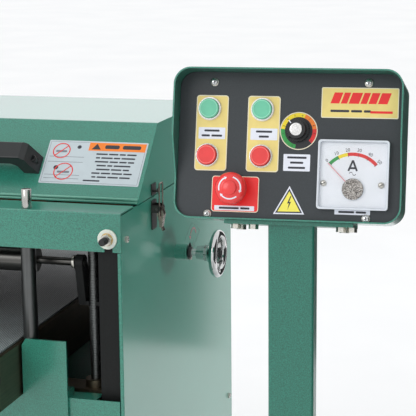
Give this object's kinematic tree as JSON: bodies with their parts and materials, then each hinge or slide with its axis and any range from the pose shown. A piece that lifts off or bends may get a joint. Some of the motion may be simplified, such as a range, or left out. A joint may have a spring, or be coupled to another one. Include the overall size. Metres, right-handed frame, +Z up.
{
  "type": "drum sander",
  "caption": "Cabinet drum sander with a powered feed table on lift screws, a hinged hood over paired sanding drums, a draw latch, a handwheel and a control box on a side post.",
  "frame": {"origin": "centre of the four floor bolt holes, on the floor", "axes": "+Z up, -Y towards the infeed side where the operator stands, +X to the operator's right, towards the control post"},
  "size_m": [1.4693, 1.0089, 1.2189],
  "materials": {
    "green_paint": "semi-gloss enamel, fine orange peel",
    "panel_paint": "satin powder coat",
    "black_paint": "satin enamel",
    "machined_steel": "turned and ground",
    "zinc_plate": "nickel and zinc plated",
    "chrome": "polished",
    "abrasive": "cloth-backed abrasive grain",
    "feed_belt_rubber": "diamond-textured rubber",
    "roller_rubber": "moulded",
    "bed_steel": "yellow passivated steel",
    "motor_grey": "cast aluminium, painted",
    "v_belt_rubber": "fabric-wrapped rubber",
    "chain_steel": "oiled",
    "black_plastic": "moulded, fine grain",
    "nylon": "natural nylon",
    "gold_plate": "satin anodised",
    "green_plastic": "moulded",
    "red_plastic": "moulded",
    "red_plate": "painted aluminium",
    "meter_plastic": "moulded case",
    "needle_red": "thin painted strip"
  },
  "bodies": {
    "cabinet": {"side_panels": "green_paint", "front_beam": "green_paint", "rear_beam": "green_paint", "lower_panels": "green_paint", "belt_guard": "green_paint", "control_box": "green_paint", "control_post": "green_paint", "post_arm": "green_paint", "column_brackets": "green_paint", "handwheel_tube": "green_paint", "base_frame": "green_paint", "control_panel": "panel_paint", "bearing_uprights": "black_paint", "roller_brackets": "black_paint", "drum_bearings": "black_paint", "motor": "black_paint", "corner_columns": "machined_steel", "hinge_pins": "machined_steel", "machine_screws": "zinc_plate", "hinge_fixed": "zinc_plate", "latch_base": "zinc_plate", "button_bezels": "chrome", "drive_belt": "v_belt_rubber", "lift_chain": "chain_steel", "slot_stud": "black_plastic", "slot_washer": "nylon", "legend_plates": "gold_plate", "stop_collar": "red_plate", "ammeter_case": "meter_plastic"},
    "hood": {"hood": "green_paint", "dust_ports": "black_plastic", "hood_handles": "black_plastic", "latch_keeper": "zinc_plate", "hinge_moving": "zinc_plate"},
    "latch_lever": {"latch_lever": "zinc_plate"},
    "latch_bail": {"latch_bail": "zinc_plate"},
    "front_drum": {"front_drum": "abrasive"},
    "rear_drum": {"rear_drum": "abrasive"},
    "motor_shaft": {"motor_pulley": "machined_steel"},
    "table": {"conveyor_bed": "bed_steel", "conveyor_belt": "feed_belt_rubber", "feed_motor": "motor_grey", "table_crossbars": "bed_steel"},
    "drive_roller": {"drive_roller": "roller_rubber"},
    "idler_roller": {"idler_roller": "roller_rubber"},
    "front_pressure_roller": {"front_pressure_roller": "machined_steel"},
    "middle_pressure_roller": {"middle_pressure_roller": "machined_steel"},
    "rear_pressure_roller": {"rear_pressure_roller": "machined_steel"},
    "lift_screw_front_right": {"lift_screw_front_right": "machined_steel"},
    "lift_screw_front_left": {"lift_screw_front_left": "machined_steel"},
    "lift_screw_rear_right": {"lift_screw_rear_right": "machined_steel"},
    "lift_screw_rear_left": {"lift_screw_rear_left": "machined_steel"},
    "handwheel": {"handwheel": "chrome"},
    "drum_start_button": {"drum_start_button": "green_plastic"},
    "feed_start_button": {"feed_start_button": "green_plastic"},
    "drum_stop_button": {"drum_stop_button": "red_plastic"},
    "feed_stop_button": {"feed_stop_button": "red_plastic"},
    "stop_mushroom": {"stop_mushroom": "red_plastic"},
    "speed_knob": {"speed_knob": "black_plastic"},
    "ammeter_needle": {"ammeter_needle": "needle_red"}
  },
  "joints": [
    {"name": "hood_hinge", "type": "hinge", "parent": "cabinet", "child": "hood", "pos_m": [0, 0.261, 0.987], "axis": [-1, 0, 0], "range_deg": [0, 80]},
    {"name": "latch_lever_pivot", "type": "hinge", "parent": "cabinet", "child": "latch_lever", "pos_m": [0.484, -0.156, 0.958], "axis": [0, -1, 0], "range_deg": [0, 150]},
    {"name": "latch_bail_pivot", "type": "hinge", "parent": "latch_lever", "child": "latch_bail", "pos_m": [0.4875, -0.156, 0.944], "axis": [0, -1, 0], "range_deg": [-150, 0]},
    {"name": "front_drum_spin", "type": "hinge", "parent": "cabinet", "child": "front_drum", "pos_m": [0, -0.102, 0.947], "axis": [1, 0, 0], "continuous": true},
    {"name": "rear_drum_spin", "type": "hinge", "parent": "cabinet", "child": "rear_drum", "pos_m": [0, 0.128, 0.947], "axis": [1, 0, 0], "continuous": true},
    {"name": "motor_spin", "type": "hinge", "parent": "cabinet", "child": "motor_shaft", "pos_m": [-0.45, 0.013, 0.3], "axis": [1, 0, 0], "continuous": true},
    {"name": "table_lift", "type": "slide", "parent": "cabinet", "child": "table", "axis": [0, 0, 1], "range_m": [0, 0.09]},
    {"name": "drive_roller_spin", "type": "hinge", "parent": "table", "child": "drive_roller", "pos_m": [0, 0.43, 0.748], "axis": [1, 0, 0], "continuous": true},
    {"name": "idler_roller_spin", "type": "hinge", "parent": "table", "child": "idler_roller", "pos_m": [0, -0.43, 0.748], "axis": [1, 0, 0], "continuous": true},
    {"name": "front_pressure_roller_spin", "type": "hinge", "parent": "cabinet", "child": "front_pressure_roller", "pos_m": [0, -0.255, 0.8885], "axis": [1, 0, 0], "continuous": true},
    {"name": "middle_pressure_roller_spin", "type": "hinge", "parent": "cabinet", "child": "middle_pressure_roller", "pos_m": [0, 0.013, 0.8885], "axis": [1, 0, 0], "continuous": true},
    {"name": "rear_pressure_roller_spin", "type": "hinge", "parent": "cabinet", "child": "rear_pressure_roller", "pos_m": [0, 0.281, 0.8885], "axis": [1, 0, 0], "continuous": true},
    {"name": "lift_screw_front_right_turn", "type": "hinge", "parent": "cabinet", "child": "lift_screw_front_right", "pos_m": [0.406, -0.245, 0.5], "axis": [0, 0, 1], "range_deg": [0, 8110]},
    {"name": "lift_screw_front_left_turn", "type": "hinge", "parent": "cabinet", "child": "lift_screw_front_left", "pos_m": [-0.406, -0.245, 0.5], "axis": [0, 0, 1], "range_deg": [0, 8110]},
    {"name": "lift_screw_rear_right_turn", "type": "hinge", "parent": "cabinet", "child": "lift_screw_rear_right", "pos_m": [0.406, 0.245, 0.5], "axis": [0, 0, 1], "range_deg": [0, 8110]},
    {"name": "lift_screw_rear_left_turn", "type": "hinge", "parent": "cabinet", "child": "lift_screw_rear_left", "pos_m": [-0.406, 0.245, 0.5], "axis": [0, 0, 1], "range_deg": [0, 8110]},
    {"name": "handwheel_turn", "type": "hinge", "parent": "cabinet", "child": "handwheel", "pos_m": [0.5, -0.036, 0.86], "axis": [1, 0, 0], "range_deg": [0, 8110]},
    {"name": "drum_start_button_press", "type": "slide", "parent": "cabinet", "child": "drum_start_button", "axis": [-0.0677, 0.9679, -0.2419], "range_m": [0, 0.004], "stiffness_N_per_m": 300, "springref_m": -0.002},
    {"name": "feed_start_button_press", "type": "slide", "parent": "cabinet", "child": "feed_start_button", "axis": [-0.0677, 0.9679, -0.2419], "range_m": [0, 0.004], "stiffness_N_per_m": 300, "springref_m": -0.002},
    {"name": "drum_stop_button_press", "type": "slide", "parent": "cabinet", "child": "drum_stop_button", "axis": [-0.0677, 0.9679, -0.2419], "range_m": [0, 0.004], "stiffness_N_per_m": 300, "springref_m": -0.002},
    {"name": "feed_stop_button_press", "type": "slide", "parent": "cabinet", "child": "feed_stop_button", "axis": [-0.0677, 0.9679, -0.2419], "range_m": [0, 0.004], "stiffness_N_per_m": 300, "springref_m": -0.002},
    {"name": "stop_mushroom_press", "type": "slide", "parent": "cabinet", "child": "stop_mushroom", "axis": [-0.0677, 0.9679, -0.2419], "range_m": [0, 0.005]},
    {"name": "speed_knob_turn", "type": "hinge", "parent": "cabinet", "child": "speed_knob", "pos_m": [0.77622, -0.48248, 1.13794], "axis": [-0.0677, 0.9679, -0.2419], "range_deg": [0, 270]},
    {"name": "ammeter_needle_swing", "type": "hinge", "parent": "cabinet", "child": "ammeter_needle", "pos_m": [0.85079, -0.49514, 1.06643], "axis": [-0.0677, 0.9679, -0.2419], "range_deg": [0, 90], "stiffness_Nm_per_rad": 0.002, "springref_deg": -5.73}
  ],
  "couplings": [
    {"joint": "latch_bail_pivot", "follows": "latch_lever_pivot", "ratio": -1},
    {"joint": "rear_drum_spin", "follows": "front_drum_spin", "ratio": 1},
    {"joint": "motor_spin", "follows": "front_drum_spin", "ratio": 1.18},
    {"joint": "idler_roller_spin", "follows": "drive_roller_spin", "ratio": 1},
    {"joint": "handwheel_turn", "follows": "table_lift", "rad_per_m": 1570.8},
    {"joint": "lift_screw_front_right_turn", "follows": "table_lift", "rad_per_m": 1570.8},
    {"joint": "lift_screw_front_left_turn", "follows": "table_lift", "rad_per_m": 1570.8},
    {"joint": "lift_screw_rear_right_turn", "follows": "table_lift", "rad_per_m": 1570.8},
    {"joint": "lift_screw_rear_left_turn", "follows": "table_lift", "rad_per_m": 1570.8}
  ]
}
